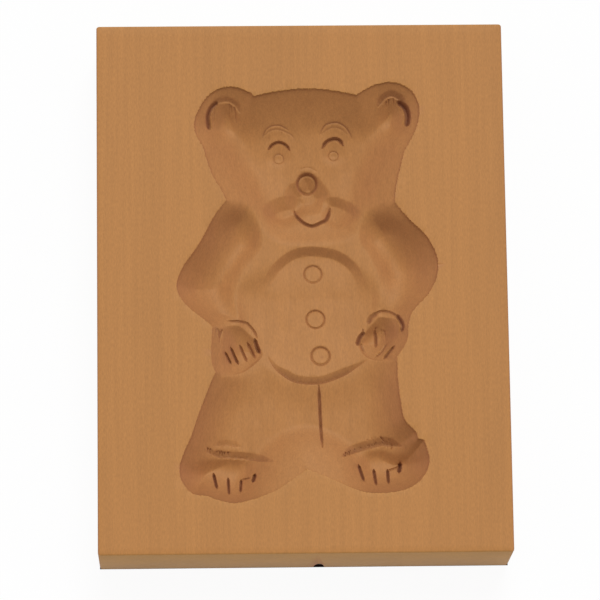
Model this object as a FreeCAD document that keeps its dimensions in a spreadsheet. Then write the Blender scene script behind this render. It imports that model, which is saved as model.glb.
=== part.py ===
"""Carved wooden springerle mould with a bear, one board, in millimetres.

The board lies on its back: +Z is the carved face's outward normal, +X is to the right
and +Y goes up the figure. The origin is the centre of the flat back face.
Each form of the figure is a dish cut into the face: the lower part of an ellipsoid whose centre
is lifted above the face, so its wall slopes in from the outline to a rounded floor. Finer cuts are
made into the floors of the dishes.
"""

import FreeCAD, Part
import os
import Sketcher

NODE_NAME = "mould_board"

# Sizes of the board and its edges

BOARD_SIZES = {
    "board_width": 110.0,
    "board_height": 145.0,
    "board_thickness": 24.0,
    "edge_break": 0.4,
    "hanging_hole_x": 3.9,
    "hanging_hole_diameter": 2.8,
    "hanging_hole_depth": 12.0,
    "hanging_hole_tilt": 14.0,
}

# Sizes of the dishes: the place of each centre, the half widths on the face, the depth below the
# face, the lift of the ellipsoid's centre above the face, and the turn

DISH_SIZES = {
    "skull_x": 1.2, "skull_y": 36.0, "skull_turn": 0.0,
    "skull_half_width": 26.8, "skull_half_height": 18.2,
    "skull_depth": 7.8, "skull_lift": 4.7,
    "jaw_x": 2.5, "jaw_y": 25.9, "jaw_turn": 0.0,
    "jaw_half_width": 22.1, "jaw_half_height": 16.3,
    "jaw_depth": 9.8, "jaw_lift": 5.0,
    "left_cheek_x": -10.8, "left_cheek_y": 36.0, "left_cheek_turn": 0.0,
    "left_cheek_half_width": 13.5, "left_cheek_half_height": 13.9,
    "left_cheek_depth": 8.2, "left_cheek_lift": 3.0,
    "right_cheek_x": 14.2, "right_cheek_y": 35.1, "right_cheek_turn": 0.0,
    "right_cheek_half_width": 12.2, "right_cheek_half_height": 16.7,
    "right_cheek_depth": 8.1, "right_cheek_lift": 5.0,
    "left_ear_x": -17.4, "left_ear_y": 42.5, "left_ear_turn": 26.8,
    "left_ear_half_width": 10.0, "left_ear_half_height": 12.7,
    "left_ear_depth": 6.1, "left_ear_lift": 5.0,
    "right_ear_x": 21.3, "right_ear_y": 43.9, "right_ear_turn": -34.7,
    "right_ear_half_width": 9.1, "right_ear_half_height": 13.2,
    "right_ear_depth": 5.9, "right_ear_lift": 4.9,
    "muzzle_x": 2.0, "muzzle_y": 19.3, "muzzle_turn": 0.0,
    "muzzle_half_width": 17.5, "muzzle_half_height": 7.5,
    "muzzle_depth": 8.5, "muzzle_lift": 0.3,
    "snout_x": 1.7, "snout_y": 26.5, "snout_turn": 0.0,
    "snout_half_width": 8.3, "snout_half_height": 8.8,
    "snout_depth": 10.5, "snout_lift": 0.4,
    "left_arm_x": -17.4, "left_arm_y": 10.0, "left_arm_turn": -29.9,
    "left_arm_half_width": 10.4, "left_arm_half_height": 21.4,
    "left_arm_depth": 7.1, "left_arm_lift": 0.8,
    "left_elbow_x": -22.4, "left_elbow_y": 0.7, "left_elbow_turn": -1.5,
    "left_elbow_half_width": 10.7, "left_elbow_half_height": 9.7,
    "left_elbow_depth": 6.9, "left_elbow_lift": 5.0,
    "left_forearm_x": -20.2, "left_forearm_y": -3.9, "left_forearm_turn": 12.0,
    "left_forearm_half_width": 7.2, "left_forearm_half_height": 8.6,
    "left_forearm_depth": 6.7, "left_forearm_lift": 4.9,
    "right_arm_x": 22.0, "right_arm_y": 9.5, "right_arm_turn": 28.4,
    "right_arm_half_width": 10.3, "right_arm_half_height": 18.1,
    "right_arm_depth": 7.5, "right_arm_lift": 0.8,
    "right_elbow_x": 23.8, "right_elbow_y": 5.4, "right_elbow_turn": 4.4,
    "right_elbow_half_width": 12.5, "right_elbow_half_height": 13.0,
    "right_elbow_depth": 6.1, "right_elbow_lift": 1.5,
    "right_forearm_x": 22.3, "right_forearm_y": -3.3, "right_forearm_turn": -28.8,
    "right_forearm_half_width": 6.4, "right_forearm_half_height": 12.4,
    "right_forearm_depth": 6.7, "right_forearm_lift": 1.3,
    "chest_x": 1.7, "chest_y": -1.5, "chest_turn": 0.0,
    "chest_half_width": 28.6, "chest_half_height": 21.9,
    "chest_depth": 7.3, "chest_lift": 0.3,
    "belly_x": 3.4, "belly_y": -6.8, "belly_turn": 0.0,
    "belly_half_width": 24.4, "belly_half_height": 24.4,
    "belly_depth": 7.1, "belly_lift": 0.3,
    "left_hand_x": -15.6, "left_hand_y": -16.4, "left_hand_turn": -11.1,
    "left_hand_half_width": 8.9, "left_hand_half_height": 11.2,
    "left_hand_depth": 7.3, "left_hand_lift": 4.9,
    "right_hand_x": 18.8, "right_hand_y": -13.0, "right_hand_turn": -11.9,
    "right_hand_half_width": 8.8, "right_hand_half_height": 10.3,
    "right_hand_depth": 7.1, "right_hand_lift": 5.0,
    "left_leg_x": -6.7, "left_leg_y": -32.7, "left_leg_turn": -22.0,
    "left_leg_half_width": 18.6, "left_leg_half_height": 20.4,
    "left_leg_depth": 7.0, "left_leg_lift": 0.3,
    "right_leg_x": 10.5, "right_leg_y": -33.1, "right_leg_turn": -5.8,
    "right_leg_half_width": 14.6, "right_leg_half_height": 20.1,
    "right_leg_depth": 7.1, "right_leg_lift": 1.0,
    "left_shin_x": -18.9, "left_shin_y": -41.2, "left_shin_turn": -12.0,
    "left_shin_half_width": 10.8, "left_shin_half_height": 12.6,
    "left_shin_depth": 6.4, "left_shin_lift": 5.0,
    "right_shin_x": 18.4, "right_shin_y": -41.9, "right_shin_turn": -2.0,
    "right_shin_half_width": 10.3, "right_shin_half_height": 9.8,
    "right_shin_depth": 5.8, "right_shin_lift": 4.8,
    "left_foot_x": -17.6, "left_foot_y": -48.6, "left_foot_turn": 6.9,
    "left_foot_half_width": 16.0, "left_foot_half_height": 9.5,
    "left_foot_depth": 8.4, "left_foot_lift": 3.1,
    "right_foot_x": 18.8, "right_foot_y": -47.2, "right_foot_turn": -7.0,
    "right_foot_half_width": 14.4, "right_foot_half_height": 9.2,
    "right_foot_depth": 8.1, "right_foot_lift": 4.3,
}

# Sizes of the finer cuts: places are offsets from the centre of the dish they are cut in, and each
# sink is how far a cut goes below the floor that it starts from

CUT_SIZES = {
    "left_eye_dx": -6.9, "left_eye_dy": 2.5, "right_eye_dx": 7.8, "right_eye_dy": 3.3,
    "eyelid_radius": 3.0, "eyelid_width": 0.9, "eyelid_start": 20.0, "eyelid_sweep": 140.0,
    "eyelid_sink": 0.3,
    "pupil_dy": -1.4, "pupil_radius": 1.3, "pupil_line_width": 0.5, "pupil_sink": 0.2,
    "brow_dy": 3.0, "brow_radius": 4.3, "brow_width": 0.6, "brow_start": 20.0, "brow_sweep": 140.0,
    "brow_sink": 0.4,
    "nose_dx": 0.1, "nose_dy": 3.8, "nose_radius": 2.7, "nose_sink": 0.6,
    "mouth_dx": 0.7, "mouth_dy": -3.0, "mouth_radius": 4.8, "mouth_width": 1.0,
    "mouth_start": 180.0, "mouth_sweep": 180.0, "mouth_sink": 0.9,
    "ear_cut_radius": 4.4, "ear_cut_width": 1.3, "ear_cut_sweep": 150.0, "ear_cut_sink": 0.9,
    "left_ear_cut_dx": -3.0, "left_ear_cut_dy": 5.2, "left_ear_cut_start": 55.0,
    "right_ear_cut_dx": 3.9, "right_ear_cut_dy": 4.7, "right_ear_cut_start": -25.0,
    "button_radius": 2.5, "button_sink": 0.5, "button_dimple_radius": 0.45,
    "button_dimple_sink": 0.4,
    "first_button_dx": -0.4, "first_button_dy": 11.4,
    "second_button_dx": 0.1, "second_button_dy": -1.1,
    "third_button_dx": 1.3, "third_button_dy": -11.3,
    "upper_waist_dx": -0.6, "upper_waist_dy": 3.3, "upper_waist_radius": 14.4,
    "upper_waist_width": 2.0, "upper_waist_start": 25.0, "upper_waist_sweep": 122.0,
    "upper_waist_sink": 0.9,
    "lower_waist_dx": 1.0, "lower_waist_dy": -1.1, "lower_waist_radius": 17.3,
    "lower_waist_width": 1.5, "lower_waist_start": 228.0, "lower_waist_sweep": 78.0,
    "lower_waist_sink": 0.9,
    "leg_split_x": 4.4, "leg_split_y": -35.0, "leg_split_length": 17.0, "leg_split_width": 0.9,
    "leg_split_sink": 0.7,
    "stroke_reach": 2.0,
    "finger_cut_length": 4.4, "finger_cut_width": 0.9, "finger_cut_sink": 1.0,
    "finger_pitch_x": 2.0, "finger_pitch_y": 0.9, "finger_count": 5,
    "left_finger_dx": -0.5, "left_finger_dy": -0.7, "left_finger_turn": 22.0,
    "right_finger_dx": 1.4, "right_finger_dy": -2.4, "right_finger_turn": -28.0,
    "wrist_radius": 5.0, "wrist_width": 0.8, "wrist_start": 15.0, "wrist_sweep": 110.0,
    "wrist_sink": 0.6,
    "left_wrist_dx": -2.0, "left_wrist_dy": 2.9, "right_wrist_dx": 3.1, "right_wrist_dy": 1.9,
    "toe_cut_length": 3.9, "toe_cut_width": 0.9, "toe_cut_sink": 1.0, "toe_pitch": 3.4,
    "toe_count": 4,
    "left_toe_dx": -1.1, "left_toe_dy": -3.7, "right_toe_dx": 1.6, "right_toe_dy": -2.9,
    "instep_width": 1.5, "instep_sink": 0.7,
    "left_instep_dx": -6.3, "left_instep_dy": -34.8, "left_instep_radius": 40.0,
    "left_instep_start": 68.0, "left_instep_sweep": 20.0,
    "right_instep_dx": 1.2, "right_instep_dy": -6.0, "right_instep_radius": 12.0,
    "right_instep_start": 75.0, "right_instep_sweep": 62.0,
}

doc = FreeCAD.newDocument("SpringerleMould")


def write_sheet(tables):
    """Put every size in the sheet as a plain number with its name as the alias."""
    sheet = doc.addObject("Spreadsheet::Sheet", "Sizes")
    row = 1
    for table in tables:
        for name, value in table.items():
            sheet.set(f"A{row}", name)
            sheet.set(f"B{row}", str(value))
            sheet.setAlias(f"B{row}", name)
            row += 1
    doc.recompute()
    return sheet


sizes = write_sheet([BOARD_SIZES, DISH_SIZES, CUT_SIZES])


# Board: one planed piece of wood with its edges just broken

def origin_plane(body, role):
    """The origin plane of this body that has the given role."""
    for feature in body.Origin.OriginFeatures:
        if feature.Role == role:
            return feature
    raise ValueError(role)


def centred_rectangle(sketch, width, height):
    """A rectangle about the sketch's origin, its width and height read from the sheet."""
    half_x = sizes.get(width) / 2
    half_y = sizes.get(height) / 2
    corners = [(-half_x, -half_y), (half_x, -half_y), (half_x, half_y), (-half_x, half_y)]
    points = [FreeCAD.Vector(x, y, 0) for x, y in corners]
    for start, end in zip(points, points[1:] + points[:1]):
        sketch.addGeometry(Part.LineSegment(start, end), False)
    for side in range(4):
        sketch.addConstraint(Sketcher.Constraint("Coincident", side, 2, (side + 1) % 4, 1))
    for side in (0, 2):
        sketch.addConstraint(Sketcher.Constraint("Horizontal", side))
    for side in (1, 3):
        sketch.addConstraint(Sketcher.Constraint("Vertical", side))
    sketch.addConstraint(Sketcher.Constraint("Symmetric", 0, 1, 1, 2, -1, 1))
    wide = sketch.addConstraint(Sketcher.Constraint("DistanceX", 0, 1, 0, 2, 2 * half_x))
    tall = sketch.addConstraint(Sketcher.Constraint("DistanceY", 1, 1, 1, 2, 2 * half_y))
    sketch.setExpression(f"Constraints[{wide}]", f"Sizes.{width}")
    sketch.setExpression(f"Constraints[{tall}]", f"Sizes.{height}")


def make_blank():
    """The plain board before it is carved."""
    body = doc.addObject("PartDesign::Body", "BoardBlank")
    outline = body.newObject("Sketcher::SketchObject", "BoardOutline")
    outline.AttachmentSupport = [(origin_plane(body, "XY_Plane"), "")]
    outline.MapMode = "FlatFace"
    centred_rectangle(outline, "board_width", "board_height")
    pad = body.newObject("PartDesign::Pad", "BoardPad")
    pad.Profile = outline
    pad.setExpression("Length", "Sizes.board_thickness")
    doc.recompute()
    broken = body.newObject("PartDesign::Chamfer", "BrokenEdges")
    broken.Base = (pad, [f"Edge{i + 1}" for i in range(len(pad.Shape.Edges))])
    broken.setExpression("Size", "Sizes.edge_break")
    body.Tip = broken
    return body


# Dishes: the forms of the figure

def place(feature, across, up, above_back, turn):
    """Bind a feature's place and its turn about Z to expressions in the sheet's names."""
    feature.setExpression("Placement.Base.x", across)
    feature.setExpression("Placement.Base.y", up)
    feature.setExpression("Placement.Base.z", above_back)
    feature.Placement.Rotation = FreeCAD.Rotation(FreeCAD.Vector(0, 0, 1), 1)
    feature.setExpression("Placement.Rotation.Angle", f"({turn}) * 1 deg")


def face_share(dish):
    """The square of the face's section of a dish over its widest section."""
    return f"(1 - (Sizes.{dish}_lift / (Sizes.{dish}_depth + Sizes.{dish}_lift))^2)"


def make_dish(name):
    """An ellipsoid with its centre lifted above the face, and only its lower part in the board."""
    dish = doc.addObject("Part::Ellipsoid", "".join(word.title() for word in name.split("_")))
    dish.setExpression("Radius1", f"Sizes.{name}_depth + Sizes.{name}_lift")
    dish.setExpression("Radius2", f"Sizes.{name}_half_width / sqrt({face_share(name)})")
    dish.setExpression("Radius3", f"Sizes.{name}_half_height / sqrt({face_share(name)})")
    place(dish, f"Sizes.{name}_x", f"Sizes.{name}_y",
          f"Sizes.board_thickness + Sizes.{name}_lift", f"Sizes.{name}_turn")
    return dish


def dish_depth(dish, across, up):
    """The depth of one dish's floor below the face, at a place on the face."""
    turn = f"(Sizes.{dish}_turn * 1 deg)"
    right = f"({across} - Sizes.{dish}_x)"
    ahead = f"({up} - Sizes.{dish}_y)"
    across_share = f"(({right} * cos({turn}) + {ahead} * sin({turn})) / Sizes.{dish}_half_width)^2"
    along_share = f"(({ahead} * cos({turn}) - {right} * sin({turn})) / Sizes.{dish}_half_height)^2"
    height = f"sqrt(max(0.01; 1 - {face_share(dish)} * ({across_share} + {along_share})))"
    return f"((Sizes.{dish}_depth + Sizes.{dish}_lift) * {height} - Sizes.{dish}_lift)"


def floor_depth(dishes, across, up):
    """The depth of the deepest of these dishes' floors below the face, at a place on the face."""
    return "max(" + "; ".join(dish_depth(dish, across, up) for dish in dishes) + ")"


# Finer cuts

def cut_arc(label, dishes, dx, dy, radius, width, start, sweep, sink, probe):
    """A groove along an arc, level at its bottom, as deep as its sink below the floor at the probe point."""
    across, up = f"(Sizes.{dishes[0]}_x + {dx})", f"(Sizes.{dishes[0]}_y + {dy})"
    depth = f"({floor_depth(dishes, f'({across} + {probe[0]})', f'({up} + {probe[1]})')} + {sink})"
    sector = doc.addObject("Part::Cylinder", f"{label}Sector")
    sector.setExpression("Radius", f"{radius} + {width} / 2")
    sector.setExpression("Angle", f"({sweep}) * 1 deg")
    core = doc.addObject("Part::Cylinder", f"{label}Core")
    core.setExpression("Radius", f"{radius} - {width} / 2")
    for column in (sector, core):
        column.setExpression("Height", f"{depth} + Sizes.edge_break")
        place(column, across, up, f"Sizes.board_thickness - {depth}", start)
    groove = doc.addObject("Part::Cut", label)
    groove.Base = sector
    groove.Tool = core
    return groove


def cut_round(label, dishes, dx, dy, radius, sink):
    """A flat-bottomed round recess, sunk below the floor at its own centre."""
    across, up = f"(Sizes.{dishes[0]}_x + {dx})", f"(Sizes.{dishes[0]}_y + {dy})"
    depth = f"({floor_depth(dishes, across, up)} + {sink})"
    recess = doc.addObject("Part::Cylinder", label)
    recess.setExpression("Radius", radius)
    recess.setExpression("Height", f"{depth} + Sizes.edge_break")
    place(recess, across, up, f"Sizes.board_thickness - {depth}", "0")
    return recess


def cut_straight(label, dishes, across, up, length, width, sink, turn):
    """A narrow cut that is deepest at its middle, like one stroke of a carving knife.

    Its centre is the reach above the floor, and its length and width are those at the floor.
    """
    floor = floor_depth(dishes, across, up)
    share = f"sqrt(1 - (Sizes.stroke_reach / (Sizes.stroke_reach + {sink}))^2)"
    stroke = doc.addObject("Part::Ellipsoid", label)
    stroke.setExpression("Radius1", f"Sizes.stroke_reach + {sink}")
    stroke.setExpression("Radius2", f"{width} / 2 / {share}")
    stroke.setExpression("Radius3", f"{length} / 2 / {share}")
    place(stroke, across, up, f"Sizes.board_thickness - {floor} + Sizes.stroke_reach", turn)
    return stroke


def face_cuts():
    """Eyelids, pupils and brows in the skull, nose on the snout, mouth in the jaw."""
    cuts = []
    for side in ("left", "right"):
        dishes = ("skull", f"{side}_cheek")
        dx, dy = f"Sizes.{side}_eye_dx", f"Sizes.{side}_eye_dy"
        name = side.title()
        cuts.append(cut_arc(f"{name}Eyelid", dishes, dx, dy, "Sizes.eyelid_radius", "Sizes.eyelid_width",
                            "Sizes.eyelid_start", "Sizes.eyelid_sweep", "Sizes.eyelid_sink",
                            ("0", "Sizes.eyelid_radius / 2")))
        cuts.append(cut_arc(f"{name}Pupil", dishes, dx, f"{dy} + Sizes.pupil_dy",
                            "Sizes.pupil_radius", "Sizes.pupil_line_width", "0", "360",
                            "Sizes.pupil_sink", ("0", "0")))
        cuts.append(cut_arc(f"{name}Brow", dishes, dx, f"{dy} + Sizes.brow_dy", "Sizes.brow_radius",
                            "Sizes.brow_width", "Sizes.brow_start", "Sizes.brow_sweep",
                            "Sizes.brow_sink", ("0", "Sizes.brow_radius")))
    cuts.append(cut_round("Nose", ("snout", "jaw"), "Sizes.nose_dx", "Sizes.nose_dy",
                          "Sizes.nose_radius", "Sizes.nose_sink"))
    cuts.append(cut_arc("Mouth", ("jaw", "muzzle"), "Sizes.mouth_dx", "Sizes.mouth_dy",
                        "Sizes.mouth_radius", "Sizes.mouth_width", "Sizes.mouth_start",
                        "Sizes.mouth_sweep", "Sizes.mouth_sink", ("0", "-Sizes.mouth_radius")))
    return cuts


def ear_cuts():
    """One curved cut inside each ear."""
    return [cut_arc(f"{side.title()}EarCut", (f"{side}_ear",), f"Sizes.{side}_ear_cut_dx",
                    f"Sizes.{side}_ear_cut_dy", "Sizes.ear_cut_radius", "Sizes.ear_cut_width",
                    f"Sizes.{side}_ear_cut_start", "Sizes.ear_cut_sweep", "Sizes.ear_cut_sink",
                    ("0", "Sizes.ear_cut_radius"))
            for side in ("left", "right")]


def belly_cuts():
    """Three buttons with dimples, and the two curved lines round the belly."""
    cuts = []
    for place_name in ("first", "second", "third"):
        dx, dy = f"Sizes.{place_name}_button_dx", f"Sizes.{place_name}_button_dy"
        name = place_name.title()
        cuts.append(cut_round(f"{name}Button", ("belly", "chest"), dx, dy,
                              "Sizes.button_radius", "Sizes.button_sink"))
        cuts.append(cut_round(f"{name}ButtonDimple", ("belly", "chest"), dx, dy,
                              "Sizes.button_dimple_radius",
                              "(Sizes.button_sink + Sizes.button_dimple_sink)"))
    for waist, sign, below in (("upper", "", ("chest",)), ("lower", "-", ("left_leg", "right_leg"))):
        cuts.append(cut_arc(f"{waist.title()}WaistLine", ("belly",) + below, f"Sizes.{waist}_waist_dx",
                            f"Sizes.{waist}_waist_dy", f"Sizes.{waist}_waist_radius",
                            f"Sizes.{waist}_waist_width", f"Sizes.{waist}_waist_start",
                            f"Sizes.{waist}_waist_sweep", f"Sizes.{waist}_waist_sink",
                            ("0", f"{sign}Sizes.{waist}_waist_radius")))
    return cuts


def hand_cuts():
    """A curved wrist line and a slanting row of finger cuts in each hand."""
    cuts = []
    count = int(sizes.finger_count)
    for side, lean in (("left", 1), ("right", -1)):
        hand = f"{side}_hand"
        dishes = (hand, f"{side}_forearm", "chest")
        name = side.title()
        cuts.append(cut_arc(f"{name}Wrist", dishes, f"Sizes.{side}_wrist_dx", f"Sizes.{side}_wrist_dy",
                            "Sizes.wrist_radius", "Sizes.wrist_width", "Sizes.wrist_start",
                            "Sizes.wrist_sweep", "Sizes.wrist_sink", ("0", "Sizes.wrist_radius")))
        for finger in range(count):
            step = finger - (count - 1) / 2
            across = f"(Sizes.{hand}_x + Sizes.{side}_finger_dx + {step} * Sizes.finger_pitch_x)"
            up = f"(Sizes.{hand}_y + Sizes.{side}_finger_dy + {step * lean} * Sizes.finger_pitch_y)"
            cuts.append(cut_straight(f"{name}Finger{finger + 1}", dishes[:1], across, up,
                                     "Sizes.finger_cut_length", "Sizes.finger_cut_width",
                                     "Sizes.finger_cut_sink", f"Sizes.{side}_finger_turn"))
    return cuts


def foot_cuts():
    """A long curved line over each instep and a row of toe cuts below it."""
    cuts = []
    count = int(sizes.toe_count)
    for side in ("left", "right"):
        foot = f"{side}_foot"
        name = side.title()
        cuts.append(cut_arc(f"{name}Instep", (foot, f"{side}_shin"), f"Sizes.{side}_instep_dx",
                            f"Sizes.{side}_instep_dy", f"Sizes.{side}_instep_radius",
                            "Sizes.instep_width", f"Sizes.{side}_instep_start",
                            f"Sizes.{side}_instep_sweep", "Sizes.instep_sink",
                            ("0", f"Sizes.{side}_instep_radius")))
        for toe in range(count):
            step = toe - (count - 1) / 2
            across = f"(Sizes.{foot}_x + Sizes.{side}_toe_dx + {step} * Sizes.toe_pitch)"
            cuts.append(cut_straight(f"{name}Toe{toe + 1}", (foot,), across,
                                     f"(Sizes.{foot}_y + Sizes.{side}_toe_dy)", "Sizes.toe_cut_length",
                                     "Sizes.toe_cut_width", "Sizes.toe_cut_sink", "0"))
    return cuts


def leg_split():
    """The straight line between the two legs."""
    return cut_straight("LegSplit", ("left_leg", "right_leg"), "Sizes.leg_split_x", "Sizes.leg_split_y",
                        "Sizes.leg_split_length", "Sizes.leg_split_width", "Sizes.leg_split_sink", "0")


def hanging_hole():
    """A blind hole that starts on the lower back edge and leans into the board."""
    hole = doc.addObject("Part::Cylinder", "HangingHole")
    hole.setExpression("Radius", "Sizes.hanging_hole_diameter / 2")
    hole.setExpression("Height", "Sizes.hanging_hole_depth + 2 * Sizes.hanging_hole_diameter")
    start = "Sizes.hanging_hole_diameter"
    hole.setExpression("Placement.Base.x", "Sizes.hanging_hole_x")
    hole.setExpression("Placement.Base.y",
                       f"-Sizes.board_height / 2 - 2 * {start} * sin(Sizes.hanging_hole_tilt * 1 deg)")
    hole.setExpression("Placement.Base.z", f"-2 * {start} * cos(Sizes.hanging_hole_tilt * 1 deg)")
    hole.Placement.Rotation = FreeCAD.Rotation(FreeCAD.Vector(-1, 0, 0), 1)
    hole.setExpression("Placement.Rotation.Angle", "Sizes.hanging_hole_tilt * 1 deg")
    return hole


# Assembly of the cuts and the finished board

DISH_NAMES = [name[:-len("_depth")] for name in DISH_SIZES if name.endswith("_depth")]

blank = make_blank()
dishes = [make_dish(name) for name in DISH_NAMES]
fine_cuts = face_cuts() + ear_cuts() + belly_cuts() + hand_cuts() + foot_cuts() + [leg_split()]

figure = doc.addObject("Part::MultiFuse", "BearDishes")
figure.Shapes = dishes
lines = doc.addObject("Part::MultiFuse", "FineCuts")
lines.Shapes = fine_cuts + [hanging_hole()]
hollow = doc.addObject("Part::Cut", "HollowedBoard")
hollow.Base = blank
hollow.Tool = figure
board = doc.addObject("Part::Cut", "MouldBoard")
board.Base = hollow
board.Tool = lines
board.Label = NODE_NAME

doc.recompute()

# Checks on the model, then the finished piece is written

for item in doc.Objects:
    if "Invalid" in item.State or "Error" in item.State:
        raise RuntimeError(f"{item.Name} failed: {item.State}")

if board.Shape.isNull() or not board.Shape.isValid():
    raise RuntimeError(f"{NODE_NAME} has no valid shape")

os.makedirs("parts", exist_ok=True)
board.Shape.exportStep(os.path.join("parts", f"{NODE_NAME}.step"))
print(NODE_NAME, len(board.Shape.Solids), "solid", round(board.Shape.Volume), "mm3",
      len(board.Shape.Faces), "faces")
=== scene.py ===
"""Carved wooden springerle mould with a bear, lying on its back on a pale floor."""

import bmesh
import bpy
import numpy as np
from mathutils import Matrix, Vector
from mathutils.geometry import delaunay_2d_cdt


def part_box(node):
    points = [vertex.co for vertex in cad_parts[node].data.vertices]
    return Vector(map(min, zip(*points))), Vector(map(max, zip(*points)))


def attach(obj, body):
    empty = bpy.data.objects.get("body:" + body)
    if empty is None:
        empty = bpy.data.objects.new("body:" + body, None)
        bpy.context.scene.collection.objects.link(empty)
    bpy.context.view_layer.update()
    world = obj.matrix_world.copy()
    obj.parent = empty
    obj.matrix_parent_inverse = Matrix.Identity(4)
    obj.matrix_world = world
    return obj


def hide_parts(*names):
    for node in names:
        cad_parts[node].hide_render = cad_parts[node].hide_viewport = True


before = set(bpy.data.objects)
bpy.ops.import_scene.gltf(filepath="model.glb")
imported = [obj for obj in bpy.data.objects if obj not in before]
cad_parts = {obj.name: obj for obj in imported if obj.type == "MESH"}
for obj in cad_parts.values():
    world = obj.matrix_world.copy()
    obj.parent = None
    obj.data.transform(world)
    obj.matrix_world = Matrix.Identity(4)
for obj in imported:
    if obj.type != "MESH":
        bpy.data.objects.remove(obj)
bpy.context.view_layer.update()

# The board
# One piece of planed, fine-grained hardwood with its growth rings running along the figure.
# Its six faces come off the planer flat, and every edge is only just broken with sandpaper.

MM = 0.001
BOARD_LOW, BOARD_HIGH = [np.array(corner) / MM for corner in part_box("mould_board")]
BOARD_WIDTH, BOARD_HEIGHT, BOARD_THICKNESS = BOARD_HIGH - BOARD_LOW
EDGE_RADIUS = 0.45
EDGE_STEPS = 3
CORNER_RADIUS = 1.6 * EDGE_RADIUS
CORNER_STEPS = 4
SIDE_STEP = 3.0


def rounded_rectangle(half_x, half_y, radius):
    """Points round a rectangle: straight sides in equal steps, and a quarter circle at each corner."""
    points = []
    for turn, (sign_x, sign_y) in enumerate([(1, 1), (-1, 1), (-1, -1), (1, -1)]):
        centre = np.array([sign_x * (half_x - radius), sign_y * (half_y - radius)])
        angles = np.radians(90 * turn) + np.linspace(0, np.pi / 2, CORNER_STEPS + 1)
        points.append(centre + radius * np.stack([np.cos(angles), np.sin(angles)], axis=1))
    ring = []
    for corner, following in zip(points, points[1:] + points[:1]):
        gap = following[0] - corner[-1]
        count = int(np.hypot(*gap) // SIDE_STEP)
        between = corner[-1] + gap * (np.arange(1, count)[:, None] / count)
        ring += [corner, between]
    return np.concatenate(ring)


def edge_rings():
    """Rings down the board's outside: a quarter round at the face, the side, and one at the back."""
    rings = []
    inset_height = [(EDGE_RADIUS * (1 - np.sin(angle)), BOARD_THICKNESS - EDGE_RADIUS * (1 - np.cos(angle)))
                    for angle in np.linspace(0, np.pi / 2, EDGE_STEPS + 1)]
    inset_height += [(inset, BOARD_THICKNESS - height) for inset, height in reversed(inset_height)]
    full = rounded_rectangle(BOARD_WIDTH / 2, BOARD_HEIGHT / 2, CORNER_RADIUS)
    half = np.array([BOARD_WIDTH / 2, BOARD_HEIGHT / 2])
    for inset, height in inset_height:
        ring = full * (half - inset) / half
        rings.append(np.column_stack([ring, np.full(len(ring), height)]))
    return rings


# The hollow's outline
# The bear's edge on the face, cut down with a knife before the wood inside was taken out.
# It is a chain of smooth stretches, with a corner wherever two parts of the figure meet.

OUTLINE = {
    "left cheek and ear": [
        (-20.2, 23.7), (-21.4, 26.5), (-23.6, 30.3), (-25.2, 34.5), (-26.0, 37.8), (-27.2, 40.2),
        (-28.4, 42.8), (-28.5, 46.0), (-27.2, 49.3), (-25.0, 52.6), (-22.4, 54.6), (-19.5, 55.3),
        (-16.5, 55.0), (-14.0, 53.9), (-12.3, 52.6)],
    "top of the head": [
        (-12.3, 52.6), (-8.0, 53.7), (-2.7, 54.4), (2.7, 54.6), (8.0, 54.2), (12.0, 53.5), (15.3, 52.7)],
    "right ear and cheek": [
        (15.3, 52.7), (17.6, 54.2), (20.5, 55.6), (24.3, 56.3), (27.2, 55.8), (30.0, 54.0), (31.7, 51.2),
        (32.2, 48.0), (31.8, 45.0), (30.7, 42.1), (29.3, 39.4), (27.9, 36.8), (26.9, 33.0), (26.0, 29.5),
        (25.3, 26.0), (25.2, 22.7)],
    "right arm and hand": [
        (25.2, 22.7), (27.2, 20.1), (29.3, 17.7), (32.0, 15.1), (34.1, 12.4), (35.7, 9.2), (36.4, 6.2),
        (36.2, 3.0), (35.1, 0.0), (33.3, -3.0), (30.8, -5.6), (28.9, -8.0), (28.1, -11.0), (27.9, -14.3),
        (26.8, -17.0), (25.0, -19.6)],
    "right leg": [
        (25.0, -19.6), (25.0, -24.8), (25.3, -29.0), (25.9, -33.5), (26.6, -36.6), (28.2, -38.6),
        (29.6, -40.2), (30.1, -41.9)],
    "slip of the knife": [(30.1, -41.9), (31.7, -42.3)],
    "right foot": [
        (31.7, -42.3), (32.5, -45.0), (33.0, -48.0), (32.1, -51.0), (29.9, -53.7), (26.5, -55.6),
        (22.0, -56.4), (17.0, -56.4), (13.0, -55.3), (8.0, -53.0), (4.0, -51.3), (0.5, -49.9)],
    "left foot and leg": [
        (0.5, -49.9), (-3.7, -52.8), (-7.5, -55.3), (-12.3, -57.3), (-16.0, -58.4), (-19.3, -58.8),
        (-23.0, -58.0), (-26.3, -56.8), (-29.4, -56.4), (-31.7, -54.4), (-33.1, -51.5), (-33.1, -48.3),
        (-31.9, -44.8), (-30.4, -41.5), (-29.0, -37.5), (-27.4, -33.0), (-25.5, -28.2), (-23.5, -23.5)],
    "left hand": [(-23.5, -23.5), (-24.4, -21.0), (-24.6, -17.5), (-24.4, -14.0), (-24.2, -11.2)],
    "left arm": [
        (-24.2, -11.2), (-26.5, -9.0), (-29.3, -6.8), (-31.5, -4.7), (-33.1, -2.2), (-33.7, 0.4),
        (-33.0, 3.2), (-31.4, 6.4), (-29.2, 9.4), (-27.1, 12.6), (-25.0, 16.6), (-22.8, 20.4),
        (-20.2, 23.7)],
}


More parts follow.
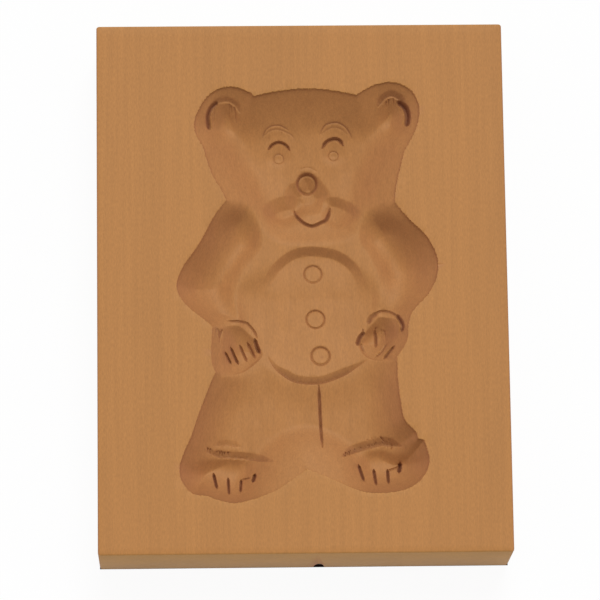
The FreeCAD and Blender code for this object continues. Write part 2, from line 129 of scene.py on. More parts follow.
def smooth_path(points, spacing, closed=False):
    """A Catmull-Rom curve: each span is a cubic whose end slopes are half the step between neighbours."""
    points = np.array(points, float)
    if closed:
        padded = np.concatenate([points[-1:], points, points[:2]])
    else:
        padded = np.concatenate([2 * points[:1] - points[1:2], points, 2 * points[-1:] - points[-2:-1]])
    pieces = []
    for before, start, end, after in zip(padded, padded[1:], padded[2:], padded[3:]):
        count = max(int(np.ceil(np.hypot(*(end - start)) / spacing)), 1)
        part = (np.arange(count) / count)[:, None]
        pieces.append(0.5 * (2 * start + (end - before) * part
                             + (2 * before - 5 * start + 4 * end - after) * part ** 2
                             + (3 * start - before - 3 * end + after) * part ** 3))
    if not closed:
        pieces.append(points[-1:])
    return np.concatenate(pieces)


TILE = 6.0
TILE_REACH = 0.71 * TILE


def in_tiles(points):
    """Square tiles that hold the points: each with its centre and the numbers of its own points."""
    tile = np.floor(points / TILE).astype(int)
    order = np.lexsort(tile.T)
    change = np.any(np.diff(tile[order], axis=0) != 0, axis=1).nonzero()[0] + 1
    for group in np.split(order, change):
        if len(group):
            yield (tile[group[0]] + 0.5) * TILE, group


def distances(points, path):
    """Distance from every point to every straight step of a chain, and the share of the step passed."""
    start, step = path[:-1], np.diff(path, axis=0)
    length = np.maximum(np.hypot(*step.T), 1e-9)
    off = points[:, None, :] - start
    along = np.clip((off * step).sum(2) / length ** 2, 0, 1)
    return np.sqrt(((off - along[..., None] * step) ** 2).sum(2)), along


def nearest_on_path(points, path):
    """Least distance to a chain of straight steps, the share of it passed there, and which points lie
    on its left-hand side.

    Within a tile only the steps that could be nearest to one of its points are looked at: those no
    further from its centre than the nearest one and the tile's diagonal together.
    """
    length = np.maximum(np.hypot(*np.diff(path, axis=0).T), 1e-9)
    passed = np.concatenate([[0], np.cumsum(length)])[:-1]
    nearest = np.empty(len(points))
    share = np.empty(len(points))
    left = np.empty(len(points), bool)
    for centre, group in in_tiles(points):
        from_centre = distances(centre[None], path)[0][0]
        steps = (from_centre <= from_centre.min() + 2 * TILE_REACH).nonzero()[0]
        start, step = path[steps], path[steps + 1] - path[steps]
        off = points[group][:, None, :] - start
        along = np.clip((off * step).sum(2) / length[steps] ** 2, 0, 1)
        squared = ((off - along[..., None] * step) ** 2).sum(2)
        best = squared.argmin(1)
        rows = np.arange(len(group))
        nearest[group] = np.sqrt(squared[rows, best])
        share[group] = passed[steps[best]] + along[rows, best] * length[steps[best]]
        step_x, step_y = step[best].T
        off_x, off_y = off[rows, best].T
        left[group] = step_x * off_y > step_y * off_x
    return nearest, share / length.sum(), left


def crossings(points, loop):
    """True where a ray to the right crosses the loop's steps an odd number of times."""
    x, y = points.T[:, :, None]
    x0, y0 = loop[:-1].T
    x1, y1 = loop[1:].T
    with np.errstate(divide="ignore", invalid="ignore"):
        meets = x0 + (x1 - x0) * (y - y0) / (y1 - y0)
    return (((y0 > y) != (y1 > y)) & (x < meets)).sum(1) % 2 == 1


def depth_inside(points, loop):
    """Distance to a closed loop, counted positive inside it and negative outside."""
    distance = nearest_on_path(points, loop)[0]
    inside = np.zeros(len(points), bool)
    for centre, group in in_tiles(points):
        if distances(centre[None], loop)[0].min() > TILE_REACH:
            inside[group] = crossings(centre[None], loop)[0]
        else:
            inside[group] = crossings(points[group], loop)
    return np.where(inside, distance, -distance)


OUTLINE_STEP = 0.35
outline = np.concatenate([smooth_path(stretch, OUTLINE_STEP)[:-1] for stretch in OUTLINE.values()])
outline = np.concatenate([outline, outline[:1]])

# The hollow's floor
# Each part of the figure is scooped out with a gouge to its own depth, steepest at its edge and flatter
# further in. Where two scoops meet, the deeper one wins and a low crest is left between them.

# A scoop's floor goes down from rim to depth over its step, inside a wall of its own width.
SCOOPS = {
    "head": dict(
        depth=8.8, rim=4.3, step=15.0, wall=12.0, centre=(2, 26), tilt=(0.0, -0.06), bow=0.0035,
        blend=0.8, soft=1.0,
        loop=[(-36, 62), (2, 64), (42, 62), (38, 40), (32, 27), (25.5, 24), (20.3, 22.9), (17.4, 21.4),
              (15.9, 18.6), (14.6, 14.6), (9, 12.4), (2, 11.8), (-5, 12.4), (-9.0, 14.6), (-10.8, 17.5),
              (-12.4, 21), (-14.6, 23.4), (-17.6, 24.2), (-20.6, 24.2), (-34, 30)]),
    "left arm": dict(
        depth=7.9, rim=5.2, step=9.0, wall=11.5, centre=(-21, 4), tilt=(0.10, -0.02), blend=0.3, soft=6.0,
        loop=[(-20.2, 24.0), (-17.6, 23.8), (-14.4, 23.0), (-12.3, 20.4), (-10.9, 16.6), (-10.6, 13.5),
              (-11.2, 10.8), (-13.3, 8.2), (-16, 4.9), (-17.6, 1.1), (-17.9, -1.5), (-17.6, -4.2),
              (-17, -8), (-20, -11), (-26, -16), (-42, -6), (-42, 6), (-32, 20), (-24, 28)]),
    "right arm": dict(
        depth=9.6, rim=5.4, step=10.0, wall=15.0, centre=(25, 4), tilt=(-0.18, 0.0), blend=0.8, soft=8.0,
        loop=[(25.2, 23.8), (22.9, 23.3), (20.3, 22.6), (17.6, 21.1), (16, 18.4), (15.5, 15.2),
              (16.2, 12), (18.2, 9), (20.4, 4), (21.1, -0.4), (20.3, -3), (19.2, -5.6), (21, -9),
              (30, -14), (44, -4), (45, 8), (36, 22), (28, 28)]),
    "torso": dict(depth=6.8, rim=5.2, step=8.0, wall=6.0, centre=(2, 2), bow=0.0022, blend=0.8, soft=2.5,
        loop=[(0, 17), (8, 17), (14, 15.8), (17.2, 10), (20.1, 4), (21.1, -2), (20.3, -9), (17.5, -17),
              (11, -24), (2, -28), (-6, -26), (-13, -20), (-16.6, -11), (-17.8, -4), (-17.6, 1.1),
              (-15.5, 5.6), (-12, 9.6), (-9, 15.4)]),
    "legs": dict(
        depth=6.4, rim=5.0, step=10.0, wall=10.5, centre=(0, -36), tilt=(0.0, -0.05), blend=0.5, soft=2.5,
        loop=[(-24.5, -23.8), (-20, -24.4), (-16.5, -23.4), (-13.9, -21.6), (-11.5, -19.8), (-9.3, -19.6),
              (-6.8, -21.4), (-2.3, -23.8), (3, -24.9), (9, -24), (14.5, -21.4), (17, -20.6),
              (20.8, -20.6), (25, -21), (32, -22), (34, -34), (40, -44), (38, -58), (20, -66), (-20, -66),
              (-42, -58), (-38, -40), (-30, -24)]),
    "left foot": dict(
        depth=8.6, rim=5.6, step=7.0, wall=12.0, centre=(-19, -48), tilt=(0.0, -0.22), blend=0.3, soft=2.5,
        loop=[(-40, -44), (-30, -43.2), (-25.9, -42.4), (-22.9, -42.6), (-18.7, -42.7), (-14.3, -43.2),
              (-9, -44.4), (-6.4, -46), (-4.4, -49), (-4.0, -51), (-5, -56), (-10, -64), (-24, -66),
              (-40, -58)]),
    "right foot": dict(
        depth=8.4, rim=5.6, step=7.0, wall=12.0, centre=(20, -47), tilt=(0.0, -0.22), blend=0.3, soft=2.5,
        loop=[(8.2, -49), (10.0, -45.4), (12.5, -43.6), (15, -41.9), (17.8, -40.7), (20.3, -40.1),
              (22.5, -40.4), (25.5, -41.2), (30, -41.0), (40, -44), (38, -58), (22, -64), (9, -60),
              (7.0, -53)]),
    "left hand": dict(
        depth=7.6, rim=5.4, step=6.0, wall=11.0, centre=(-17.5, -18.5), bow=0.02, blend=0.2, soft=0.6,
        loop=[(-30, -14), (-24, -10.2), (-20.2, -8.8), (-18, -8.8), (-15.4, -9.2), (-13.6, -10.8),
              (-11.8, -13.4), (-10.6, -16.9), (-11.2, -18.6), (-13.9, -21.2), (-16.5, -23), (-20, -24),
              (-24, -24.4), (-30, -20)]),
    "right hand": dict(
        depth=8.0, rim=5.2, step=6.5, wall=11.0, centre=(21, -16.5), bow=0.02, blend=0.2, soft=0.6,
        loop=[(17.6, -8.4), (19.2, -6.7), (21.4, -5.9), (24.5, -6.5), (28, -7.4), (34, -12), (30, -18),
              (25, -20.6), (20.8, -20.3), (17.6, -19.3), (15.6, -17.4), (14.2, -14.8), (15.2, -12)]),
}

# A step is a bevel that drops its floor over its width, full near its heart and gone further out.
STEPS = {
    "left jowl": dict(drop=1.7, width=3.6, heart=(-4.5, 24.5), full=3.0, gone=9.0,
        loop=[(-10.6, 20.5), (-9.8, 23.8), (-7.2, 25.8), (-3.6, 26.9), (0, 26.6), (2, 24), (1, 20),
              (-4, 17), (-8.5, 17.5)]),
    "right jowl": dict(drop=1.4, width=2.4, heart=(10, 25), full=3.0, gone=9.0,
        loop=[(6.0, 24.5), (7.3, 26.3), (9.7, 26.3), (12.5, 25.1), (14.8, 23.4), (16.6, 21), (15, 17.5),
              (9.5, 16), (5.6, 19)]),
    "snout": dict(drop=1.9, width=3.8, heart=(2, 27.5), full=3.0, gone=13.0,
        loop=[(0, 33.2), (2.2, 33.6), (4.4, 32.4), (6.2, 30.4), (8.2, 26.6), (6, 22.5), (2, 21.3),
              (-2, 22.5), (-4.4, 26.4), (-3.4, 29.6), (-1.4, 30.8)]),
    "belly's top": dict(drop=1.7, width=2.3, heart=(3.4, 12.5), spread=100.0, full=4.0, gone=14.0,
        loop=[(-10.4, 2), (-9, 5.2), (-7.3, 7.5), (-4.8, 9.7), (-1.8, 11.3), (1.7, 11.9), (4.2, 11.8),
              (8.2, 11.2), (11.3, 9.9), (13.8, 7.9), (15.6, 5.6), (17.3, 1), (18, -5), (14, -20),
              (3, -25), (-8, -20), (-12, -8)]),
    "left eye": dict(drop=0.8, width=4.0, heart=(-5.8, 40.2), full=3.0, gone=7.0,
        loop=[(-8.9, 39.4), (-7.6, 41.1), (-5.6, 41.8), (-3.7, 41.0), (-2.4, 39.2), (-2.0, 35.6),
              (-5.8, 33.0), (-9.8, 35.6)]),
    "right eye": dict(drop=0.85, width=4.0, heart=(9.2, 41.0), full=3.0, gone=7.0,
        loop=[(5.6, 39.6), (7.0, 41.8), (9.2, 42.7), (11.1, 42.2), (12.2, 40.3), (12.8, 36.6),
              (9.2, 33.8), (5.2, 36.4)]),
    "left ear's bowl": dict(drop=1.1, width=5.0, heart=(-22.6, 49.6), full=3.5, gone=9.0,
        loop=[(-24.8, 45.2), (-24.8, 47.8), (-24.0, 50.0), (-22.1, 51.6), (-19.6, 52.0), (-17.5, 51.0),
              (-15.8, 47.8), (-15.6, 43.0), (-19.0, 39.5), (-23.6, 41.0)]),
    "right ear's bowl": dict(drop=1.2, width=5.0, heart=(27.4, 49.6), full=3.5, gone=9.0,
        loop=[(29.1, 45.7), (29.6, 47.8), (29.1, 50.0), (27.6, 51.8), (25.1, 53.1), (22.6, 52.0),
              (20.6, 48.6), (20.2, 43.6), (23.6, 40.2), (28.2, 41.6)]),
    "right palm": dict(drop=0.45, width=2.2, heart=(19.6, -11.4), spread=1.6, full=2.0, gone=6.5,
        loop=[(15.6, -12.6), (16.8, -10.6), (18.8, -9.4), (21.6, -9.2), (24.4, -9.9), (25.6, -13.0),
              (23.0, -17.6), (16.6, -17.0)]),
}

# Use has worn the edge round here, where the wall starts gently and runs on further.
WORN_EDGES = {
    "crotch": dict(centre=(0.5, -52.0), reach=19.0, share=1.0),
    "left cheek": dict(centre=(-25.5, 31.0), reach=16.0, share=0.3),
    "right cheek": dict(centre=(27.5, 31.0), reach=16.0, share=0.3),
    "left hand": dict(centre=(-26.0, -17.0), reach=9.0, share=0.4),
    "right hand": dict(centre=(29.5, -15.0), reach=9.0, share=0.3),
}
LEAST_DEPTH = 5.0
LEAST_WALL = 12.0
WORN_SPREAD = 1.8
WORN_FALL = 1.4
KNIFE_CUT = 0.04
KNIFE_RUN = 0.8
LOOP_STEP = 0.8
CHEST_RISE = 1.7
CHEST_FROM, CHEST_TO = -3.0, 8.5


def quarter_round(share):
    """0 to 1 along a quarter circle: upright at the start and level from 1 onwards."""
    return np.sqrt(np.maximum(1 - (1 - np.clip(share, 0, 1)) ** 2, 0))


def dish(share):
    """0 to 1 along a parabola: steepest at the start and level from 1 onwards."""
    return 1 - (1 - np.clip(share, 0, 1)) ** 2


def ease(share):
    """0 to 1 along an S curve that is level at both ends."""
    share = np.clip(share, 0, 1)
    return share ** 2 * (3 - 2 * share)


def wall(in_outline, width, worn):
    """Share of the full depth reached inward from the outline.

    A crisp wall is a short knife cut and then a long dish. A worn one has no knife cut and is wider.
    """
    knife = KNIFE_CUT * (1 - worn)
    return (knife * quarter_round(in_outline / KNIFE_RUN)
            + (1 - knife) * dish(in_outline / (width * (1 + WORN_SPREAD * worn))))


def worn_share(points):
    """How worn the edge is near each point: a stretch's share round its centre, easing to none."""
    worn = np.zeros(len(points))
    for stretch in WORN_EDGES.values():
        far = np.hypot(*(points - stretch["centre"]).T)
        worn = np.maximum(worn, stretch["share"] * ease(WORN_FALL * (1 - far / stretch["reach"])))
    return worn


def deeper_of(one, other, blend):
    """The larger of two depths, rounded over where they differ by less than the blend."""
    near = np.maximum(blend - np.abs(one - other), 0) / blend
    return np.maximum(one, other) + near ** 2 * blend / 4


def near_loop(points, loop_points):
    """A smooth closed loop, which points lie in the box round it, and how deep they lie inside it."""
    loop = smooth_path(loop_points, LOOP_STEP, closed=True)
    loop = np.concatenate([loop, loop[:1]])
    near = np.all((points > loop.min(0)) & (points < loop.max(0)), axis=1)
    return near, depth_inside(points[near], loop)


def scooped_floor(points, in_outline):
    """Depth of the scooped floor.

    A scoop drops from its rim to its depth over its step, tilts, bows along Y, and fades to nothing at
    the outline. It takes over from what was cut before within its soft width. The chest is left higher
    than the belly. The steps are bevels cut into that floor, each fading out away from its heart.
    """
    worn = worn_share(points)
    floor = LEAST_DEPTH * wall(in_outline, LEAST_WALL, worn)
    for scoop in SCOOPS.values():
        near, within = near_loop(points, scoop["loop"])
        off = points[near] - scoop["centre"]
        drop = (scoop["depth"] - scoop["rim"]) * dish(within / scoop["step"])
        level = scoop["rim"] + drop + off @ np.array(scoop.get("tilt", (0, 0)))
        level = level - scoop.get("bow", 0) * off[:, 1] ** 2
        if scoop is SCOOPS["torso"]:
            level -= CHEST_RISE * ease((points[near, 1] - CHEST_FROM) / (CHEST_TO - CHEST_FROM))
        level = level * wall(in_outline[near], scoop["wall"], worn[near])
        cut_deeper = deeper_of(floor[near], level, scoop["blend"]) - floor[near]
        floor[near] += cut_deeper * dish(within / scoop["soft"])
    for cut in STEPS.values():
        near, within = near_loop(points, cut["loop"])
        off = points[near] - cut["heart"]
        far = np.hypot(off[:, 0] / cut.get("spread", 1), off[:, 1])
        fade = ease((cut["gone"] - far) / (cut["gone"] - cut["full"]))
        bevel = np.clip(within / cut["width"], 0, 1)
        floor[near] += cut["drop"] * fade * bevel
    return floor


# The carved lines
# Strokes of a small V tool and a narrow gouge over the scooped floor: lids, brows, nose, mouth, ears,
# buttons, hands, toes and the line between the legs. Each has its own width and depth at the middle,
# its slant is the share of the width on its left, and its darkness is the shade painted into the cut.

LINE_STEP = 0.4
LINE_MARGIN = 2.5
TIP = 0.45
LINE_FORM, SHADE_FORM = 0.8, 0.7
ROUND_EDGE = 0.8
LINES = {
    "left lid": dict(width=0.95, depth=0.75,
        path=[(-8.6, 39.5), (-7.4, 40.9), (-5.6, 41.5), (-3.8, 40.7), (-2.8, 39.3)]),
    "right lid": dict(width=1.1, depth=0.8,
        path=[(6.1, 39.8), (7.2, 41.5), (9.2, 42.3), (10.8, 41.9), (11.7, 40.5)]),
    "left brow": dict(width=0.5, depth=0.16, cut_shade=0.5,
        path=[(-10.3, 42.2), (-9.5, 44.2), (-8.1, 45.5), (-5.8, 45.9), (-4.3, 45.4), (-3.0, 44.6)]),
    "left brow's fold": dict(width=0.5, depth=0.12, cut_shade=0.25,
        path=[(-9.8, 43.0), (-8.3, 44.4), (-6.1, 44.9), (-3.8, 44.2), (-2.0, 43.2), (-1.6, 41.8)]),
    "right brow": dict(width=0.6, depth=0.2, cut_shade=0.5,
        path=[(5.4, 43.5), (6.7, 45.6), (8.2, 46.3), (10.3, 46.4), (12.2, 45.4), (13.6, 43.6),
              (14.1, 42.3)]),
    "right brow's fold": dict(width=0.5, depth=0.1, cut_shade=0.25,
        path=[(5.7, 43.5), (7.2, 44.6), (9.2, 45.3), (11.2, 44.8), (12.8, 43.5)]),
    "nose fold": dict(width=0.5, depth=0.12, path=[(0.0, 34.0), (1.2, 34.6), (2.8, 34.5), (4.6, 33.5)]),
    "mouth": dict(width=1.1, depth=0.8,
        path=[(-1.6, 23.0), (-1.4, 21.8), (-0.5, 20.4), (0.5, 19.3), (1.8, 18.5), (3.3, 18.2),
              (5.3, 19.1), (6.8, 20.0), (7.6, 21.8), (8.0, 23.4)]),
    "left ear cut": dict(width=1.4, depth=1.0, tip=0.9,
        path=[(-24.7, 44.8), (-24.9, 47.6), (-24.0, 50.0), (-22.6, 51.4)]),
    "left ear's fold": dict(width=1.5, depth=0.35, slant=0.7, cut_shade=0.25,
        path=[(-23.6, 50.6), (-22.1, 51.6), (-19.6, 52.0), (-17.5, 51.0), (-16.4, 49.2)]),
    "right ear cut": dict(width=1.7, depth=1.3, tip=0.9,
        path=[(29.0, 45.2), (29.2, 47.6), (28.6, 49.8), (27.1, 51.4)]),
    "right ear's fold": dict(width=1.8, depth=0.5, slant=0.25, cut_shade=0.45,
        path=[(28.2, 51.4), (27.6, 51.8), (25.1, 53.1), (23.0, 52.4), (21.4, 50.5)]),
    "left wrist": dict(width=0.8, depth=0.5,
        path=[(-20.2, -8.6), (-18.0, -8.7), (-15.2, -8.9), (-14.4, -9.5), (-13.0, -11.2), (-12.2, -13.0)]),
    "left cuff": dict(width=0.7, depth=0.4, path=[(-21.6, -11.4), (-22.4, -14.0)]),
    "left finger 1": dict(width=0.81, depth=0.9, cut_shade=0.7, path=[(-20.9, -17.4), (-19.3, -20.3)]),
    "left finger 2": dict(width=0.9, depth=0.99, cut_shade=0.7, path=[(-19.4, -15.8), (-17.4, -20.1)]),
    "left finger 3": dict(width=0.81, depth=0.63, cut_shade=0.45, path=[(-16.9, -14.9), (-15.1, -19.2)]),
    "left finger 4": dict(width=0.9, depth=0.63, cut_shade=0.45, path=[(-14.9, -14.2), (-12.9, -18.4)]),
    "left finger 5": dict(width=1.17, depth=1.17, cut_shade=0.8,
        path=[(-12.9, -13.4), (-12.2, -15.9), (-11.6, -17.1)]),
    "right wrist": dict(width=0.8, depth=0.5,
        path=[(18.2, -8.2), (19.7, -6.7), (21.3, -6.1), (23.3, -6.4), (25.3, -7.9), (26.2, -9.2)]),
    "right wrist's end": dict(width=1.2, depth=1.0, tip=0.8,
        path=[(25.4, -7.9), (26.4, -9.9), (26.7, -11.2), (26.4, -12.2)]),
    "right wrist's start": dict(width=1.4, depth=0.6, tip=0.8,
        path=[(17.8, -9.0), (18.4, -7.6), (19.7, -6.8)]),
    "right thumb": dict(width=1.4, depth=1.0, tip=0.9,
        path=[(16.2, -12.1), (15.3, -13.3), (14.8, -14.8)]),
    "right thumb's tip": dict(width=0.9, depth=0.4, path=[(15.6, -14.8), (16.3, -16.9)]),
    "right finger 1": dict(width=0.9, depth=0.6, path=[(19.4, -11.2), (19.7, -13.4), (19.6, -15.6)]),
    "right finger 2": dict(width=0.7, depth=0.45, path=[(22.4, -15.0), (20.9, -17.5), (19.3, -18.8)]),
    "right finger 3": dict(width=0.9, depth=0.8, path=[(24.4, -16.2), (22.9, -17.9), (21.6, -19.6)]),
    "leg line": dict(width=0.9, depth=0.7, path=[(4.1, -26.3), (4.4, -35.0), (4.8, -43.4)]),
    "belly's end": dict(width=2.2, depth=0.8, slant=0.78, tip=0.1, cut_shade=0.5,
        path=[(-9.4, -18.2), (-7.8, -21.0), (-5.8, -22.9), (-2.8, -24.8), (0.2, -25.5), (3.2, -25.6),
              (5.2, -25.4), (8.3, -24.4), (11.3, -23.1), (14.3, -21.3), (17.1, -19.6)]),
    "left instep": dict(width=2.1, depth=0.7, slant=0.75, tip=0.3, cut_shade=0.4,
        path=[(-25.8, -44.2), (-22.6, -45.0), (-18.5, -45.3), (-14.2, -45.8), (-8.8, -47.0)]),
    "left ankle": dict(width=1.6, depth=0.3, slant=0.85, tip=0.2, cut_shade=0.15,
        path=[(-24.0, -42.4), (-20.4, -42.0), (-17.0, -42.6)]),
    "left toe 1": dict(width=0.9, depth=1.1, path=[(-24.3, -49.5), (-23.4, -54.0)]),
    "left toe 2": dict(width=0.8, depth=1.0, path=[(-20.4, -50.7), (-20.2, -55.7)]),
    "left toe 3": dict(width=0.8, depth=1.0, path=[(-16.9, -51.3), (-17.2, -55.0)]),
    "left toe link": dict(width=0.6, depth=0.4, path=[(-16.9, -51.3), (-14.6, -51.1)]),
    "left toe 4": dict(width=1.1, depth=1.2, path=[(-13.2, -50.2), (-13.9, -52.4)]),
    "right instep": dict(width=2.4, depth=0.7, slant=0.75, tip=0.3, cut_shade=0.5,
        path=[(10.3, -45.7), (12.8, -44.3), (16.3, -43.1), (20.3, -42.2), (22.3, -42.4), (25.6, -43.2)]),
    "right instep's tear": dict(width=0.9, depth=0.6, path=[(20.3, -40.3), (21.2, -41.4), (22.3, -42.4)]),
    "right toe 1": dict(width=1.0, depth=1.1, path=[(14.4, -47.9), (15.7, -52.5)]),
    "right toe 2": dict(width=0.9, depth=1.0, path=[(18.5, -48.8), (19.0, -53.5)]),
    "right toe 3": dict(width=0.9, depth=1.0, path=[(22.2, -48.9), (22.3, -53.1)]),
    "right toe link": dict(width=0.6, depth=0.4, path=[(22.2, -49.2), (25.2, -48.2)]),
    "right toe 4": dict(width=1.2, depth=1.2, path=[(25.6, -47.2), (25.2, -49.9)]),
}
ROUNDS = {
    "left pupil": dict(centre=(-5.8, 37.1), radius=1.3, line=0.4, depth=0.14, cut_shade=0.35),
    "right pupil": dict(centre=(9.1, 37.8), radius=1.25, line=0.4, depth=0.18, cut_shade=0.35),
    "nose": dict(centre=(1.8, 30.3), radius=2.45, line=1.1, sink=0.55, depth=0.6, cut_shade=0.45),
    "first button": dict(centre=(3.0, 4.6), radius=2.3, line=0.8, sink=0.35, depth=0.4, cut_shade=0.3),
    "second button": dict(centre=(3.5, -7.9), radius=2.4, line=0.7, sink=0.25, depth=0.45, cut_shade=0.3),
    "third button": dict(centre=(4.7, -18.1), radius=2.4, line=0.9, sink=0.3, depth=0.5, cut_shade=0.35),
    "second button's dimple": dict(centre=(3.6, -7.7), radius=0.0, line=1.2, depth=0.25, cut_shade=0.3),
    "third button's dimple": dict(centre=(5.0, -18.4), radius=0.0, line=1.2, depth=0.35, cut_shade=0.4),
}

TEAR_SEED = 11
TEAR_STEP = 0.1
TEAR_SCATTER, TEAR_SWAY = 0.25, 0.12
TEAR_MARGIN = 0.5
LEFT_IN_TEARS = 0.6
# Tears are painted darker by their depth, up to a limit: painted shade in the pits.
TEAR_SHADE, TEAR_SHADE_MOST = 1.6, 0.7
# Short tears round these paths: how many, and their least and greatest length and depth.
TEARS = {
    "left instep": dict(count=20, length=(0.8, 2.2), depth=(0.25, 0.55), width=0.55,
        path=[(-25.8, -43.2), (-22.5, -43.9), (-19.8, -44.2)]),
    "right instep": dict(count=34, length=(0.5, 1.2), depth=(0.3, 0.6), width=0.55,
        path=[(10.6, -45.2), (12.8, -43.9), (16.3, -42.7), (20.3, -41.7), (24.0, -42.6)]),
    "right instep's top": dict(count=8, length=(0.5, 1.0), depth=(0.1, 0.3), width=0.45,
        path=[(13.0, -42.6), (16.3, -41.2), (20.0, -40.2), (23.0, -41.4)]),
    "left ear": dict(count=14, length=(1.0, 3.8), depth=(0.12, 0.3), width=0.5,
        path=[(-24.3, 48.6), (-22.4, 50.6), (-19.4, 51.2), (-17.2, 50.2)]),
    "right ear": dict(count=12, length=(0.8, 2.6), depth=(0.12, 0.35), width=0.5,
        path=[(20.6, 51.6), (23.0, 51.8), (25.6, 52.2), (28.4, 50.6)]),
    "left cuff": dict(count=6, length=(1.0, 3.0), depth=(0.15, 0.4), width=0.5,
        path=[(-23.4, -10.6), (-22.2, -12.4)]),
    "right palm": dict(count=9, length=(1.0, 3.4), depth=(0.12, 0.35), width=0.5,
        path=[(16.2, -11.2), (19.6, -10.4), (22.0, -11.6)]),
    "left brow": dict(count=5, length=(0.5, 1.2), depth=(0.05, 0.12), width=0.4,
        path=[(-9.8, 41.8), (-6.0, 44.2), (-2.2, 42.0)]),
}


def torn_fibres(points):
    """Depth of short pits along the grain, where the tool tore the wood: deepest and widest at the top."""
    added = np.zeros(len(points))
    chance = np.random.default_rng(TEAR_SEED)
    for tear in TEARS.values():
        path = smooth_path(tear["path"], TEAR_STEP)
        starts = path[chance.integers(0, len(path), tear["count"])]
        starts = starts + chance.uniform(-TEAR_SCATTER, TEAR_SCATTER, starts.shape)
        lengths = chance.uniform(*tear["length"], tear["count"])
        depths = chance.uniform(*tear["depth"], tear["count"])
        sways = chance.uniform(-TEAR_SWAY, TEAR_SWAY, tear["count"])
        for start, length, depth, sway in zip(starts, lengths, depths, sways):
            end = start + np.array([sway * length, -length])
            low, high = np.minimum(start, end) - TEAR_MARGIN, np.maximum(start, end) + TEAR_MARGIN
            near = np.all((points > low) & (points < high), axis=1)
            distance, along = distances(points[near], np.array([start, end]))
            within = np.clip(1 - distance[:, 0] / (tear["width"] / 2 * (1.1 - 0.8 * along[:, 0])), 0, 1)
            added[near] = np.maximum(added[near], depth * within * (1.0 - 0.7 * along[:, 0]))
    return added


def carved_lines(points):
    """Depth added by the strokes and rounds, and the painted shade they give each point, from 0 to 1."""
    added = np.zeros(len(points))
    cut_shade = np.zeros(len(points))
    for line in LINES.values():
        path = smooth_path(line["path"], LINE_STEP)
        low, high = path.min(0) - LINE_MARGIN, path.max(0) + LINE_MARGIN
        near = np.all((points > low) & (points < high), axis=1)
        distance, share, left = nearest_on_path(points[near], path)
        taper = np.clip(4 * np.minimum(share, 1 - share) + line.get("tip", TIP), 0, 1)
        slant = line.get("slant", 0.5)
        reach = line["width"] * np.where(left, slant, 1 - slant) * taper
        within = np.clip(1 - distance / reach, 0, 1)
        added[near] = np.maximum(added[near], line["depth"] * taper * within ** LINE_FORM)
        # Painted shade in the cut: as dark as the cut is deep unless given, darkest at its middle.
        dark = line.get("cut_shade", line["depth"]) * taper * within ** SHADE_FORM
        cut_shade[near] = np.maximum(cut_shade[near], dark)
    torn = torn_fibres(points)
    added = np.maximum(added, added * LEFT_IN_TEARS + torn)
    # Painted shade in the torn pits.
    cut_shade = np.maximum(cut_shade, np.clip(TEAR_SHADE * torn, 0, TEAR_SHADE_MOST))
    for ring in ROUNDS.values():
        distance = np.hypot(*(points - ring["centre"]).T)
        groove = np.clip(1 - np.abs(distance - ring["radius"]) / (ring["line"] / 2), 0, 1)
        sunk = quarter_round((ring["radius"] - distance) / ROUND_EDGE)
        added = np.maximum(added, ring["depth"] * groove + ring.get("sink", 0) * sunk)
        cut_shade = np.maximum(cut_shade, ring["cut_shade"] * groove)
    return added, np.clip(cut_shade, 0, 1)


# The carved face
# Everything above meets in one surface: level wood outside the outline, a small roll at its edge,
# and the scooped floor with its lines and the shallow facets that a gouge leaves inside it.

EDGE_ROLL = 0.3
EDGE_DROP = 0.06
GRID_STEP = 0.16
GRID_MARGIN = 1.5
SHARP_BEND, SLIGHT_BEND, CUT_AT_ALL = 0.035, 0.007, 0.001
FACE_STEP = 4.0
FACETS = [dict(depth=0.07, across=2.6, along=5.5, seed=3), dict(depth=0.04, across=1.1, along=2.2, seed=4)]
FACET_FROM_EDGE = 2.0


def lattice_noise(points, cell_x, cell_y, seed):
    """Smooth noise from -1 to 1: random heights on a lattice, joined by cubic easing in x and in y."""
    heights = np.random.default_rng(seed).uniform(-1, 1, (256, 256))
    scaled = points / np.array([cell_x, cell_y]) + 100
    whole = np.floor(scaled).astype(int)
    part = scaled - whole
    ease_x, ease_y = (part ** 2 * (3 - 2 * part)).T
    column, row = whole.T % 256
    next_column, next_row = (column + 1) % 256, (row + 1) % 256
    low = heights[row, column] * (1 - ease_x) + heights[row, next_column] * ease_x
    high = heights[next_row, column] * (1 - ease_x) + heights[next_row, next_column] * ease_x
    return low * (1 - ease_y) + high * ease_y


def carve_depth(points):
    """Depth in millimetres below the face, share in the hollow, and painted shade from the lines."""
    in_outline = depth_inside(points, outline)
    inside = in_outline > 0
    depth = np.zeros(len(points))
    cut_shade_share = np.zeros(len(points))
    floor = scooped_floor(points[inside], in_outline[inside])
    lines, cut_shade_share[inside] = carved_lines(points[inside])
    facets = sum(cut["depth"] * lattice_noise(points[inside], cut["across"], cut["along"], cut["seed"])
                 for cut in FACETS)
    away = np.clip(in_outline[inside] / FACET_FROM_EDGE, 0, 1)
    depth[inside] = floor + lines * away + facets * away
    roll = EDGE_DROP * np.clip(1 + in_outline / EDGE_ROLL, 0, 1) ** 2
    depth = np.where(inside, depth + roll, roll)
    return depth, inside.astype(float), cut_shade_share


